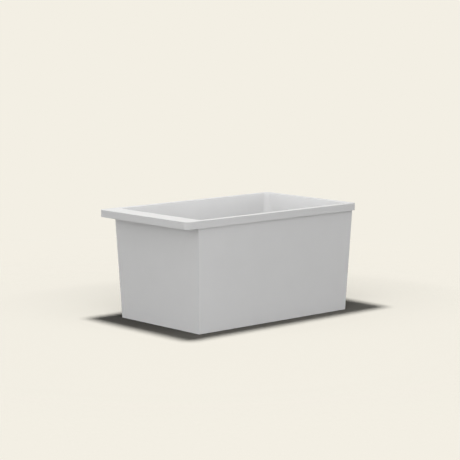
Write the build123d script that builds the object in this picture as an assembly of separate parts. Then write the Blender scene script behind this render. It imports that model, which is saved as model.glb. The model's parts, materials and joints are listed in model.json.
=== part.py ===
from build123d import *
import os
from math import atan, cos, dist, pi, radians, sin, sqrt, tan

os.makedirs("parts", exist_ok=True)

# Sizes are in millimetres. +X runs along the tub to its narrow-rimmed end, so the wide deck is at -X.
# -Y is the front, +Z is up, and z = 0 is the floor under the feet.

# Tub as a whole
LENGTH = 1200.0
WIDTH = 700.0
HEIGHT = 580.0

# Bath shell: one moulded sheet with a drop lip round its rim
SHELL_T = 5.0
LIP_HEIGHT = 38.0
RIM_CORNER_R = 27.0
RIM_EDGE_R = 1.5
RIM_WIDTH = 28.0
DECK_WIDTH = 108.0
BASIN_FLOOR_Z = 110.0
BASIN_DRAFT = 42.0
RECLINE = 130.0
BASIN_CORNER_R = 25.0
FLOOR_CORNER_R = 90.0
FLOOR_FILLET = 50.0
BASIN_EDGE_R = 2.0

# Skirt panels, set back under the lip and leaning in towards the floor
PANEL_T = 5.0
OVERHANG = 17.0
DECK_OVERHANG = 91.0
PANEL_LEAN = 24.0
PANEL_FLOOR_GAP = 1.0
PANEL_EDGE_R = 1.5
BEAD_T = 3.0
BEAD_INSET = 0.5
ANGLE_LEG = 25.0
ANGLE_T = 2.0
ANGLE_END_GAP = 6.0
BATTEN_T = 20.0
BATTEN_H = 20.0

# Boards
BASE_BOARD_T = 18.0
BASE_BOARD_R = 60.0
DECK_BOARD_T = 15.0
BOARD_GAP = 2.0

# Cradle of square tube under the base board
TUBE = 30.0
TUBE_WALL = 2.0
TUBE_R = 3.0
RAIL_INSET = 40.0
RAIL_END_GAP = 50.0
CROSS_RAIL_INSET = 60.0
CAP_T = 2.5
CAP_DEPTH = 8.0
CAP_GAP = 0.2
BOARD_SCREW_R = 3.0
BOARD_SCREW_HEAD_R = 6.5
BOARD_SCREW_HEAD_T = 4.0
BOARD_SCREW_BITE = 12.0
SCREW_HOLE_GAP = 0.4
STRAP_T = 3.0
STRAP_W = 25.0
STRAP_LAP = 24.0
STRAP_END_GAP = 1.0
STRAP_SCREW_R = 2.4
STRAP_SCREW_HEAD_R = 5.0
STRAP_SCREW_HEAD_T = 3.0
BATTEN_SCREW_BITE = 15.0

# Levelling feet
FOOT_INSET = 40.0
FOOT_TRAVEL = 15.0
STUD_R = 6.0
STUD_GAP = 0.3
STUD_TOP_GAP = 2.5
STUD_CHAMFER = 1.0
PAD_R = 25.0
PAD_H = 16.0
PAD_RIM_H = 6.0
PAD_STEP = 2.0
PAD_NECK_R = 10.0
LOCK_NUT_AF = 19.0
LOCK_NUT_T = 6.0
RIVET_R = 8.0
RIVET_FLANGE_R = 11.0
RIVET_FLANGE_T = 1.5
RIVET_DEPTH = 15.0

# Waste
WASTE_INSET = 122.0
WASTE_HOLE_R = 26.0
BOARD_CUT_R = 52.0
FLANGE_R = 36.0
FLANGE_T = 2.5
FLANGE_TUBE_R = 23.0
FLANGE_BORE_R = 20.5
FLANGE_TUBE_DEPTH = 14.0
SPOKE_W = 3.0
SPOKE_H = 4.0
HUB_R = 7.0
FLANGE_GASKET_T = 1.0
FLANGE_GASKET_INSET = 1.0
SHELL_GASKET_T = 3.0
BODY_FLANGE_R = 38.0
BODY_FLANGE_T = 4.0
BODY_R = 29.0
BODY_WALL = 3.5
BODY_DEPTH = 49.0
NECK_R = 22.0
NECK_LENGTH = 14.0
TAIL_R = 20.0
TAIL_WALL = 2.5
TAIL_SHOULDER = 1.0
TAIL_COLLAR_T = 3.0
TAIL_WASHER_T = 2.0
TAIL_NUT_R = 27.0
TAIL_NUT_LIP = 4.0
TAIL_NUT_GAP = 2.0
TAIL_END_Z = 4.0

# Plug and its lift
CAP_R = 31.0
CAP_H = 4.5
CAP_EDGE_R = 2.0
SEAL_R = 27.0
SEAL_BORE_R = 12.0
SEAL_T = 1.5
STEM_R = 4.0
STEM_GAP = 0.4
LEVER_ARM = 16.0
LEVER_SWING = 32.0
LEVER_W = 8.0
LEVER_T = 4.0
LEVER_ROLLER_R = 3.0
LEVER_HUB_R = 5.0
LEVER_PIN_R = 2.5
LEVER_PIN_GAP = 0.3
LEVER_DROP = 36.0
LIFT_GAP = 0.4

# Overflow on the reclined end wall
OVERFLOW_DROP = 125.0
OVERFLOW_HOLE_R = 25.0
OVERFLOW_R = 34.0
OVERFLOW_DEPTH = 24.0
OVERFLOW_WALL = 2.5
OVERFLOW_GASKET_T = 2.0
PLATE_R = 32.0
PLATE_T = 4.0
PLATE_HOLE_R = 5.5
PLATE_HOLE_PITCH_R = 14.0
PLATE_HOLES = 6
PLATE_SCREW_R = 2.0
PLATE_SCREW_HEAD_R = 3.5
PLATE_SCREW_HEAD_T = 1.5
PLATE_SCREW_PITCH_R = 21.5
BOSS_R = 3.5
KNOB_R = 31.0
KNOB_T = 15.0
KNOB_EDGE_R = 3.0
KNOB_SCALLOP_R = 14.0
KNOB_SCALLOP_DEPTH = 5.0
KNOB_STANDOFF = 9.0
KNOB_TURN = 105.0
SPINDLE_R = 5.0
SPINDLE_GAP = 0.3
SPINDLE_SEAT = 8.0
SPINDLE_END_GAP = 3.0
CRANK_R = 13.0
CRANK_T = 4.0
SPIGOT_R = 9.5
SPIGOT_WALL = 2.0
SPIGOT_LENGTH = 26.0
SPIGOT_SHIFT = 1.0
INLET_DROP = 32.0

# Hose and control cable
HOSE_R = 12.0
HOSE_BEND_R = 60.0
HOSE_NUT_R = 14.0
HOSE_NUT_LENGTH = 16.0
HOSE_END_GAP = 6.5
CABLE_R = 3.0
CABLE_OFFSET = 20.0
CABLE_END_GAP = 0.2
CLIP_WALL = 2.0
CLIP_W = 8.0
CLIP_COUNT = 3
CLIP_START = 90.0
CLIP_END_GAP = 16.0

# Derived levels, from the feet up
SHELL_UNDERSIDE_Z = BASIN_FLOOR_Z - SHELL_T
RAIL_TOP_Z = SHELL_UNDERSIDE_Z - BASE_BOARD_T
RAIL_Z = RAIL_TOP_Z - TUBE
STRAP_Z = RAIL_Z - STRAP_T
LIP_Z = HEIGHT - LIP_HEIGHT
RIM_UNDERSIDE_Z = HEIGHT - SHELL_T
PANEL_TOP_Z = RIM_UNDERSIDE_Z - BEAD_T
PANEL_SLOPE = PANEL_LEAN / LIP_Z
BASIN_DEPTH = HEIGHT - BASIN_FLOOR_Z

BASE = (Align.CENTER, Align.CENTER, Align.MIN)


def disc(radius, z0, z1, x=0.0, y=0.0):
    """Upright cylinder between two heights."""
    return Pos(x, y, z0) * Cylinder(radius, z1 - z0, align=BASE)


def ring(outer, inner, z0, z1, x=0.0, y=0.0):
    """Upright ring between two heights."""
    return disc(outer, z0, z1, x, y) - disc(inner, z0, z1, x, y)


def block(x0, x1, y0, y1, z0, z1):
    """Box between two corners."""
    size = (x1 - x0, y1 - y0, z1 - z0)
    return Pos((x0 + x1) / 2, (y0 + y1) / 2, (z0 + z1) / 2) * Box(*size)


def outline(x0, x1, half, z, radius):
    """Rounded rectangle at height z, as wide as twice half."""
    return Pos((x0 + x1) / 2, 0, z) * RectangleRounded(x1 - x0, 2 * half, radius)


def group(shapes):
    """Separate solids kept together in one node."""
    return Compound(children=[s.solid() for s in shapes])


# Bath shell


def basin_limits(z, grow=0.0):
    """Left, right, half width and corner radius of the basin's inside at height z, grown outwards."""
    t = (HEIGHT - z) / BASIN_DEPTH
    x0 = -LENGTH / 2 + DECK_WIDTH + RECLINE * t - grow
    x1 = LENGTH / 2 - RIM_WIDTH - BASIN_DRAFT * t + grow
    half = WIDTH / 2 - RIM_WIDTH - BASIN_DRAFT * t + grow
    radius = BASIN_CORNER_R + (FLOOR_CORNER_R - BASIN_CORNER_R) * t + grow
    return x0, x1, half, radius


def basin_section(z, grow):
    """Section of the basin at height z."""
    x0, x1, half, radius = basin_limits(z, grow)
    return outline(x0, x1, half, z, radius)


def basin_solid(z_top, z_floor, grow):
    """Leaning basin volume with a rounded floor edge."""
    body = loft([basin_section(z_floor, grow), basin_section(z_top, grow)], ruled=True)
    floor_edges = body.faces().sort_by(Axis.Z)[0].edges()
    return fillet(floor_edges, FLOOR_FILLET + grow)


def rim():
    """Flat rim with its lip, before the basin is let into it."""
    half_x = LENGTH / 2
    half_y = WIDTH / 2
    top = extrude(outline(-half_x, half_x, half_y, LIP_Z, RIM_CORNER_R), LIP_HEIGHT)
    top = fillet(top.faces().sort_by(Axis.Z)[-1].edges(), RIM_EDGE_R)
    inner = outline(-half_x + SHELL_T, half_x - SHELL_T, half_y - SHELL_T, LIP_Z, RIM_CORNER_R - SHELL_T)
    return top - extrude(inner, LIP_HEIGHT - SHELL_T)


def is_basin_edge(edge):
    """True for the edge where the flat rim turns down into the basin."""
    at = edge.center()
    x0, x1, half, _ = basin_limits(HEIGHT, 0.5)
    return abs(at.Z - HEIGHT) < 0.01 and x0 < at.X < x1 and abs(at.Y) < half


def make_shell():
    """Rim and basin as one sheet, with the holes for waste and overflow."""
    body = rim() + basin_solid(HEIGHT - SHELL_T / 2, SHELL_UNDERSIDE_Z, SHELL_T)
    body = body - basin_solid(HEIGHT, BASIN_FLOOR_Z, 0.0)
    body = fillet(body.edges().filter_by(is_basin_edge), BASIN_EDGE_R)
    body = body - disc(WASTE_HOLE_R, SHELL_UNDERSIDE_Z - 1, BASIN_FLOOR_Z + 1, WASTE_X)
    return body - OVERFLOW * disc(OVERFLOW_HOLE_R, -2 * SHELL_T, SHELL_T)


# Skirt


def skirt_limits(z, inset=0.0):
    """Left, right and half width of the panels' outer faces at height z, moved inwards."""
    run = PANEL_SLOPE * (LIP_Z - z) + inset
    return -LENGTH / 2 + DECK_OVERHANG + run, LENGTH / 2 - OVERHANG - run, WIDTH / 2 - OVERHANG - run


def frustum(z0, z1, inset, edge_r=0.0):
    """Leaning four-sided volume between two heights, with softened upright edges."""
    sections = []
    for z in (z0, z1):
        x0, x1, half = skirt_limits(z, inset)
        sections.append(Pos((x0 + x1) / 2, 0, z) * Rectangle(x1 - x0, 2 * half))
    body = loft(sections, ruled=True)
    if edge_r:
        body = fillet([e for e in body.edges() if abs(e.tangent_at(0.5).Z) > 0.5], edge_r)
    return body


def skirt_ring(z0, z1, inset, thickness, edge_r=0.0):
    """Four-sided tube that follows the panels."""
    return frustum(z0, z1, inset, edge_r) - frustum(z0, z1, inset + thickness)


def wedge(side):
    """Upright prism that holds one side of the skirt, cut at 45 degrees in the corners."""
    x0, x1, half = skirt_limits(0.0)
    reach = min(x1 - x0, 2 * half) / 2 - 1
    out = PANEL_LEAN + OVERHANG + SHELL_T
    if side in ("front", "back"):
        s = -1 if side == "front" else 1
        points = [(x0 - out, s * (half + out)), (x1 + out, s * (half + out))]
        points += [(x1 - reach, s * (half - reach)), (x0 + reach, s * (half - reach))]
    else:
        edge, s = (x0, -1) if side == "left" else (x1, 1)
        points = [(edge + s * out, -half - out), (edge + s * out, half + out)]
        points += [(edge - s * reach, half - reach), (edge - s * reach, -half + reach)]
    return extrude(make_face(Polyline(*points, close=True)), HEIGHT)


def make_panel(side):
    """One leaning skirt panel with mitred ends."""
    skirt = skirt_ring(PANEL_FLOOR_GAP, PANEL_TOP_Z, 0.0, PANEL_T, PANEL_EDGE_R)
    return skirt & wedge(side)


def make_bead():
    """Adhesive between the panel tops and the underside of the rim."""
    return skirt_ring(PANEL_TOP_Z, RIM_UNDERSIDE_Z, BEAD_INSET, PANEL_T - 2 * BEAD_INSET)


def make_batten(side):
    """Timber strip glued along the inside of a panel, near the floor."""
    body = skirt_ring(STRAP_Z - BATTEN_H, STRAP_Z, PANEL_T, BATTEN_T) & wedge(side)
    for x, y, where in strap_points():
        if where == side:
            body = body - disc(STRAP_SCREW_R, STRAP_Z - BATTEN_SCREW_BITE, STRAP_Z, x, y)
    return body


def make_angle(left, front):
    """Corner angle that ties two panels together on the inside."""
    z0 = RAIL_Z + ANGLE_END_GAP
    z1 = LIP_Z - ANGLE_END_GAP
    tube = skirt_ring(z0, z1, PANEL_T, ANGLE_T)
    x0, x1, half = skirt_limits(z0, PANEL_T)
    near, far = ((x0, -LENGTH) if left else (x1, LENGTH))
    leg = ANGLE_LEG if left else -ANGLE_LEG
    y_far, y_near = (-WIDTH, -half + ANGLE_LEG) if front else (WIDTH, half - ANGLE_LEG)
    xs = sorted((near + leg, far))
    ys = sorted((y_far, y_near))
    return tube & block(xs[0], xs[1], ys[0], ys[1], z0, z1)


# Boards


def board_limits():
    """Left, right and half width of the base board: the flat part of the basin's underside."""
    x0, x1, half, _ = basin_limits(BASIN_FLOOR_Z)
    inset = FLOOR_FILLET + BOARD_GAP
    return x0 + inset, x1 - inset, half - inset


def make_base_board():
    """Board bonded under the basin floor, cut out round the waste."""
    x0, x1, half = board_limits()
    board = extrude(outline(x0, x1, half, RAIL_TOP_Z, BASE_BOARD_R), BASE_BOARD_T)
    board = board - disc(BOARD_CUT_R, RAIL_TOP_Z, SHELL_UNDERSIDE_Z, WASTE_X)
    for x, y in board_screw_points():
        board = board - disc(BOARD_SCREW_R, RAIL_TOP_Z, RAIL_TOP_Z + BOARD_SCREW_BITE, x, y)
    return board


def make_deck_board():
    """Board bonded under the wide deck, between the lip and the left panel."""
    x0 = -LENGTH / 2 + SHELL_T + BOARD_GAP
    x1 = skirt_limits(RIM_UNDERSIDE_Z)[0] - BOARD_GAP
    half = WIDTH / 2 - SHELL_T - BOARD_GAP
    z0 = RIM_UNDERSIDE_Z - DECK_BOARD_T
    board = block(x0, x1, -half, half, z0, RIM_UNDERSIDE_Z)
    corners = board.edges().filter_by(Axis.Z).group_by(Axis.X)[0]
    return fillet(corners, RIM_CORNER_R - SHELL_T)


# Cradle


def rail_limits():
    """Left end, right end and half spacing of the two long rails."""
    x0, x1, _ = skirt_limits(RAIL_TOP_Z, PANEL_T)
    return x0 + RAIL_END_GAP, x1 - RAIL_END_GAP, board_limits()[2] - RAIL_INSET


def cross_rail_xs():
    """Places of the two cross rails, both right of the waste."""
    return WASTE_X + BOARD_CUT_R + CROSS_RAIL_INSET, board_limits()[1] - CROSS_RAIL_INSET


def tube_section():
    """Square tube section, hollow, with rounded corners."""
    inner = TUBE - 2 * TUBE_WALL
    return RectangleRounded(TUBE, TUBE, TUBE_R) - RectangleRounded(inner, inner, TUBE_R - TUBE_WALL)


def make_rail(side):
    """Long rail with holes for the rivet nuts, the board screws and the strap screws."""
    x0, x1, half = rail_limits()
    y = side * half
    start = Plane(origin=(x0, y, RAIL_Z + TUBE / 2), z_dir=(1, 0, 0))
    rail = extrude(start * tube_section(), x1 - x0)
    bottom = (RAIL_Z - 1, RAIL_Z + TUBE_WALL + 1)
    for x in foot_xs():
        rail = rail - disc(RIVET_R, bottom[0], bottom[1], x, y)
    for px, py in board_screw_points():
        if py == y:
            rail = rail - disc(BOARD_SCREW_R + SCREW_HOLE_GAP, RAIL_Z - 1, RAIL_TOP_Z + 1, px, py)
    for px, py in rail_screw_points():
        if py == y:
            rail = rail - disc(STRAP_SCREW_R, bottom[0], bottom[1], px, py)
    return rail


def make_cross_rail(x):
    """Cross rail welded between the long rails."""
    reach = rail_limits()[2] - TUBE / 2
    start = Plane(origin=(x, -reach, RAIL_Z + TUBE / 2), z_dir=(0, 1, 0))
    return extrude(start * tube_section(), 2 * reach)


def make_end_caps():
    """Plastic plugs in the four open ends of the long rails."""
    x0, x1, half = rail_limits()
    fit = TUBE - 2 * TUBE_WALL - 2 * CAP_GAP
    caps = []
    for x, out in ((x0, -1), (x1, 1)):
        for y in (-half, half):
            face = Plane(origin=(x, y, RAIL_Z + TUBE / 2), z_dir=(out, 0, 0))
            cap = extrude(face * RectangleRounded(TUBE, TUBE, TUBE_R), CAP_T)
            caps.append(cap + extrude(face * RectangleRounded(fit, fit, TUBE_R - TUBE_WALL), -CAP_DEPTH))
    return group(caps)


def board_screw_points():
    """Places of the screws that hold the base board on the long rails."""
    half = rail_limits()[2]
    left, right = cross_rail_xs()
    xs = (left - TUBE * 1.5, (left + right) / 2, right - TUBE * 1.5)
    return [(x, s * half) for s in (-1, 1) for x in xs]


def make_board_screws():
    """Screws through the rails into the base board."""
    screws = []
    for x, y in board_screw_points():
        shank = disc(BOARD_SCREW_R, RAIL_Z, RAIL_TOP_Z + BOARD_SCREW_BITE, x, y)
        screws.append(shank + disc(BOARD_SCREW_HEAD_R, RAIL_Z - BOARD_SCREW_HEAD_T, RAIL_Z, x, y))
    return group(screws)


def long_strap_xs():
    """Places of the straps to the front and back battens, clear of feet and board screws."""
    left, right = cross_rail_xs()
    return left, (left + right) / 2 - 2 * STRAP_W, right


def strap_points():
    """Screw places on the battens, one for each strap, with the side that the batten is on."""
    x0, x1, half = skirt_limits(STRAP_Z, PANEL_T + BATTEN_T / 2)
    points = [(x, -half, "front") for x in long_strap_xs()]
    points += [(x, half, "back") for x in long_strap_xs()]
    y = rail_limits()[2]
    points += [(x0, s * y, "left") for s in (-1, 1)]
    points += [(x1, s * y, "right") for s in (-1, 1)]
    return points


def rail_screw_points():
    """Screw places under the rails, one for each strap, in the same order."""
    x0, x1, half = rail_limits()
    places = {"front": (0, -half), "back": (0, half), "left": (x0, 0), "right": (x1, 0)}
    points = []
    for x, y, side in strap_points():
        px, py = places[side]
        if side in ("front", "back"):
            points.append((x, py))
        else:
            points.append((px + (STRAP_LAP / 2 if side == "left" else -STRAP_LAP / 2), y))
    return points


def make_straps():
    """Flat steel straps from the underside of the rails to the tops of the battens."""
    straps = []
    for (bx, by, side), (rx, ry) in zip(strap_points(), rail_screw_points()):
        lap_b = BATTEN_T / 2 - STRAP_END_GAP
        lap_r = STRAP_LAP / 2
        if side in ("front", "back"):
            s = -1 if side == "front" else 1
            ys = sorted((by + s * lap_b, ry - s * lap_r))
            strap = block(bx - STRAP_W / 2, bx + STRAP_W / 2, ys[0], ys[1], STRAP_Z, RAIL_Z)
        else:
            s = -1 if side == "left" else 1
            xs = sorted((bx + s * lap_b, rx - s * lap_r))
            strap = block(xs[0], xs[1], by - STRAP_W / 2, by + STRAP_W / 2, STRAP_Z, RAIL_Z)
        for x, y in ((bx, by), (rx, ry)):
            strap = strap - disc(STRAP_SCREW_R, STRAP_Z, RAIL_Z, x, y)
        straps.append(strap)
    return group(straps)


def make_strap_screws():
    """Two screws a strap: one down into the batten, one up into the rail."""
    screws = []
    for x, y, _ in strap_points():
        shank = disc(STRAP_SCREW_R, STRAP_Z - BATTEN_SCREW_BITE, RAIL_Z, x, y)
        screws.append(shank + disc(STRAP_SCREW_HEAD_R, RAIL_Z, RAIL_Z + STRAP_SCREW_HEAD_T, x, y))
    for x, y in rail_screw_points():
        shank = disc(STRAP_SCREW_R, STRAP_Z, RAIL_Z + 2 * TUBE_WALL, x, y)
        screws.append(shank + disc(STRAP_SCREW_HEAD_R, STRAP_Z - STRAP_SCREW_HEAD_T, STRAP_Z, x, y))
    return group(screws)


# Levelling feet


def foot_xs():
    """Places of the feet along the rails."""
    x0, x1, _ = rail_limits()
    return x0 + FOOT_INSET, x1 - FOOT_INSET


def foot_points():
    """Feet in order: left front, right front, right back, left back."""
    xs = foot_xs()
    y = rail_limits()[2]
    return [(xs[0], -y), (xs[1], -y), (xs[1], y), (xs[0], y)]


def make_rivet_nuts():
    """Threaded inserts pressed into the bottom wall of the long rails."""
    nuts = []
    for x, y in foot_points():
        nut = disc(RIVET_R, RAIL_Z, RAIL_Z + RIVET_DEPTH, x, y)
        nut = nut + disc(RIVET_FLANGE_R, RAIL_Z - RIVET_FLANGE_T, RAIL_Z, x, y)
        bore = disc(STUD_R + STUD_GAP, RAIL_Z - RIVET_FLANGE_T, RAIL_Z + RIVET_DEPTH, x, y)
        nuts.append(nut - bore)
    return group(nuts)


def make_pad(x, y):
    """Foot pad: flat disc that rises to a neck round the stud."""
    pad = disc(PAD_R, 0, PAD_RIM_H, x, y)
    pad = pad + Pos(x, y, PAD_RIM_H) * Cone(PAD_R - PAD_STEP, PAD_NECK_R, PAD_H - PAD_RIM_H, align=BASE)
    return pad - disc(STUD_R, PAD_RIM_H, PAD_H, x, y)


def make_stud(x, y):
    """Foot stud, from the pad up into the rail."""
    stud = disc(STUD_R, PAD_RIM_H, RAIL_TOP_Z - TUBE_WALL - STUD_TOP_GAP, x, y)
    return chamfer(stud.faces().sort_by(Axis.Z)[-1].edges(), STUD_CHAMFER)


def make_lock_nut(x, y):
    """Hexagon nut on the stud, tight under the rivet nut."""
    top = RAIL_Z - RIVET_FLANGE_T
    hexagon = Pos(x, y, top - LOCK_NUT_T) * RegularPolygon(LOCK_NUT_AF / 2, 6, major_radius=False)
    return extrude(hexagon, LOCK_NUT_T) - disc(STUD_R, top - LOCK_NUT_T, top, x, y)


# Waste


WASTE_X = basin_limits(BASIN_FLOOR_Z)[0] + WASTE_INSET
FLANGE_Z = BASIN_FLOOR_Z + FLANGE_GASKET_T
FLANGE_TOP_Z = FLANGE_Z + FLANGE_T
BODY_TOP_Z = SHELL_UNDERSIDE_Z - SHELL_GASKET_T
BODY_BOTTOM_Z = BODY_TOP_Z - BODY_DEPTH
INLET_Z = BODY_TOP_Z - INLET_DROP
FLANGE_END_Z = BODY_TOP_Z - FLANGE_TUBE_DEPTH
NECK_Z = BODY_BOTTOM_Z - NECK_LENGTH
NECK_BORE_R = TAIL_R - TAIL_WALL
TAIL_TOP_Z = NECK_Z - TAIL_WASHER_T
TAIL_NUT_Z = TAIL_TOP_Z - TAIL_COLLAR_T - TAIL_NUT_LIP
LIFT = 2 * LEVER_ARM * sin(radians(LEVER_SWING / 2))
LEVER_X = WASTE_X + LEVER_ARM
LEVER_Z = BODY_TOP_Z - LEVER_DROP
STEM_END_Z = LEVER_Z - LIFT / 2 + LEVER_ROLLER_R + LIFT_GAP


def make_waste_flange():
    """Flange on the basin floor, its threaded tube and the spokes that guide the plug stem."""
    flange = disc(FLANGE_R, FLANGE_Z, FLANGE_TOP_Z, WASTE_X)
    flange = flange + disc(FLANGE_TUBE_R, FLANGE_END_Z, FLANGE_TOP_Z, WASTE_X)
    flange = flange - disc(FLANGE_BORE_R, FLANGE_END_Z, FLANGE_TOP_Z, WASTE_X)
    reach = (FLANGE_BORE_R + FLANGE_TUBE_R) / 2
    top = FLANGE_END_Z + SPOKE_H
    spokes = block(WASTE_X - reach, WASTE_X + reach, -SPOKE_W / 2, SPOKE_W / 2, FLANGE_END_Z, top)
    spokes = spokes + block(WASTE_X - SPOKE_W / 2, WASTE_X + SPOKE_W / 2, -reach, reach, FLANGE_END_Z, top)
    spokes = spokes + disc(HUB_R, FLANGE_END_Z, top, WASTE_X)
    return flange + spokes - disc(STEM_R + STEM_GAP, FLANGE_END_Z, top, WASTE_X)


def make_waste_body():
    """Waste body under the shell, with the overflow inlet at its side and a neck at its foot."""
    body = disc(BODY_FLANGE_R, BODY_TOP_Z - BODY_FLANGE_T, BODY_TOP_Z, WASTE_X)
    body = body + disc(BODY_R, BODY_BOTTOM_Z, BODY_TOP_Z, WASTE_X)
    body = body + disc(NECK_R, NECK_Z, BODY_BOTTOM_Z, WASTE_X)
    inlet = Plane(origin=(WASTE_X, 0, INLET_Z), z_dir=(-1, 0, 0))
    body = body + inlet * disc(SPIGOT_R, 0, BODY_R + SPIGOT_LENGTH)
    body = body - disc(BODY_R - BODY_WALL, BODY_BOTTOM_Z + BODY_WALL, FLANGE_END_Z, WASTE_X)
    body = body - disc(FLANGE_TUBE_R, FLANGE_END_Z, BODY_TOP_Z, WASTE_X)
    body = body - disc(NECK_BORE_R, NECK_Z, BODY_BOTTOM_Z + BODY_WALL, WASTE_X)
    bore = disc(SPIGOT_R - SPIGOT_WALL, BODY_R - 2 * BODY_WALL, BODY_R + SPIGOT_LENGTH)
    return body - inlet * bore - make_lever_pin()


def make_tail_pipe():
    """Outlet pipe that points down, with the collar that its nut pulls up."""
    pipe = disc(TAIL_R, TAIL_END_Z, TAIL_TOP_Z, WASTE_X)
    pipe = pipe + disc(TAIL_R + TAIL_SHOULDER, TAIL_NUT_Z, TAIL_TOP_Z, WASTE_X)
    pipe = pipe + disc(NECK_R, TAIL_TOP_Z - TAIL_COLLAR_T, TAIL_TOP_Z, WASTE_X)
    return pipe - disc(TAIL_R - TAIL_WALL, TAIL_END_Z, TAIL_TOP_Z, WASTE_X)


def make_tail_nut():
    """Ribbed nut that holds the tail pipe on the neck."""
    z0 = TAIL_NUT_Z
    z1 = BODY_BOTTOM_Z - TAIL_NUT_GAP
    nut = extrude(Pos(WASTE_X, 0, z0) * RegularPolygon(TAIL_NUT_R, 12), z1 - z0)
    nut = nut - disc(TAIL_R + TAIL_SHOULDER, z0, z0 + TAIL_NUT_LIP, WASTE_X)
    return nut - disc(NECK_R, z0 + TAIL_NUT_LIP, z1, WASTE_X)


# Plug and lift lever


def make_plug_cap():
    """Chrome cap that closes the waste."""
    z0 = FLANGE_TOP_Z + SEAL_T
    cap = disc(CAP_R, z0, z0 + CAP_H, WASTE_X)
    return fillet(cap.faces().sort_by(Axis.Z)[-1].edges(), CAP_EDGE_R)


def make_plug_stem():
    """Stem under the cap, down to the lever's roller, with a collar inside the seal."""
    z1 = FLANGE_TOP_Z + SEAL_T
    return disc(STEM_R, STEM_END_Z, z1, WASTE_X) + disc(SEAL_BORE_R, FLANGE_TOP_Z, z1, WASTE_X)


def lever_at(along):
    """Place on the lever at rest, measured from its pivot along the arm."""
    tilt = radians(LEVER_SWING / 2)
    return LEVER_X - along * cos(tilt), 0.0, LEVER_Z - along * sin(tilt)


def cross_pin(centre, radius, width):
    """Cylinder across the tub, centred at a place."""
    return Plane(origin=centre, z_dir=(0, 1, 0)) * disc(radius, -width / 2, width / 2)


def make_lever():
    """Lever with its hub on the pin and a roller under the plug stem."""
    hub = cross_pin(lever_at(0), LEVER_HUB_R, LEVER_W)
    roller = cross_pin(lever_at(LEVER_ARM), LEVER_ROLLER_R, LEVER_W)
    bar = Box(LEVER_ARM, LEVER_W, LEVER_T)
    arm = Pos(*lever_at(LEVER_ARM / 2)) * Rot(0, -LEVER_SWING / 2, 0) * bar
    lever = hub + roller + arm
    return lever - cross_pin(lever_at(0), LEVER_PIN_R + LEVER_PIN_GAP, 2 * LEVER_W)


def make_lever_pin():
    """Pin across the waste body that the lever turns on."""
    inside = BODY_R - BODY_WALL
    reach = sqrt(inside ** 2 - LEVER_ARM ** 2) + BODY_WALL / 2
    return cross_pin((LEVER_X, 0, LEVER_Z), LEVER_PIN_R, 2 * reach)


# Overflow, drawn in its own frame: z out of the wall into the basin, y up the wall


RECLINE_ANGLE = atan(RECLINE / BASIN_DEPTH)
OVERFLOW_Z = HEIGHT - OVERFLOW_DROP
OVERFLOW_AT = (basin_limits(OVERFLOW_Z)[0], 0.0, OVERFLOW_Z)
OVERFLOW_AXIS = (cos(RECLINE_ANGLE), 0.0, sin(RECLINE_ANGLE))
OVERFLOW = Plane(origin=OVERFLOW_AT, x_dir=(0, 1, 0), z_dir=OVERFLOW_AXIS)
WALL_BACK = -SHELL_T * cos(RECLINE_ANGLE)
BODY_FACE = WALL_BACK - OVERFLOW_GASKET_T
BODY_BACK = BODY_FACE - OVERFLOW_DEPTH
SPIGOT_DEPTH = (BODY_FACE + BODY_BACK) / 2 - SPIGOT_SHIFT


def make_overflow_gasket():
    """Ring between the wall's back and the overflow body."""
    return OVERFLOW * ring(OVERFLOW_R, OVERFLOW_R - 2 * OVERFLOW_WALL, BODY_FACE, WALL_BACK)


def screw_places():
    """The two face plate screws, side by side across the wall."""
    return [(s * PLATE_SCREW_PITCH_R, 0.0) for s in (-1, 1)]


def make_overflow_body():
    """Slim cup behind the wall, open to the basin, with a spigot that points down the wall."""
    cup = disc(OVERFLOW_R, BODY_BACK, BODY_FACE)
    down = Plane(origin=(0, 0, SPIGOT_DEPTH), z_dir=(0, -1, 0))
    cup = cup + down * disc(SPIGOT_R, 0, OVERFLOW_R + SPIGOT_LENGTH)
    cup = cup - disc(OVERFLOW_R - OVERFLOW_WALL, BODY_BACK + OVERFLOW_WALL, BODY_FACE)
    cup = cup - down * disc(SPIGOT_R - SPIGOT_WALL, 0, OVERFLOW_R + SPIGOT_LENGTH)
    for x, y in screw_places():
        cup = cup + disc(BOSS_R, BODY_BACK, BODY_FACE, x, y)
        cup = cup - disc(PLATE_SCREW_R, BODY_BACK + 2 * OVERFLOW_WALL, BODY_FACE, x, y)
    return OVERFLOW * cup


def make_face_plate():
    """Plate on the basin wall, with water holes round the spindle."""
    plate = disc(PLATE_R, 0, PLATE_T)
    plate = plate - disc(SPINDLE_R + SPINDLE_GAP, 0, PLATE_T)
    for place in PolarLocations(PLATE_HOLE_PITCH_R, PLATE_HOLES, start_angle=180 / PLATE_HOLES):
        plate = plate - place * disc(PLATE_HOLE_R, 0, PLATE_T)
    for x, y in screw_places():
        plate = plate - disc(PLATE_SCREW_R, 0, PLATE_T, x, y)
    return OVERFLOW * plate


def make_plate_screws():
    """Screws from the face plate into the overflow body."""
    screws = []
    for x, y in screw_places():
        shank = disc(PLATE_SCREW_R, BODY_BACK + 3 * OVERFLOW_WALL, PLATE_T, x, y)
        head = disc(PLATE_SCREW_HEAD_R, PLATE_T, PLATE_T + PLATE_SCREW_HEAD_T, x, y)
        screws.append(OVERFLOW * (shank + head))
    return group(screws)


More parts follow.
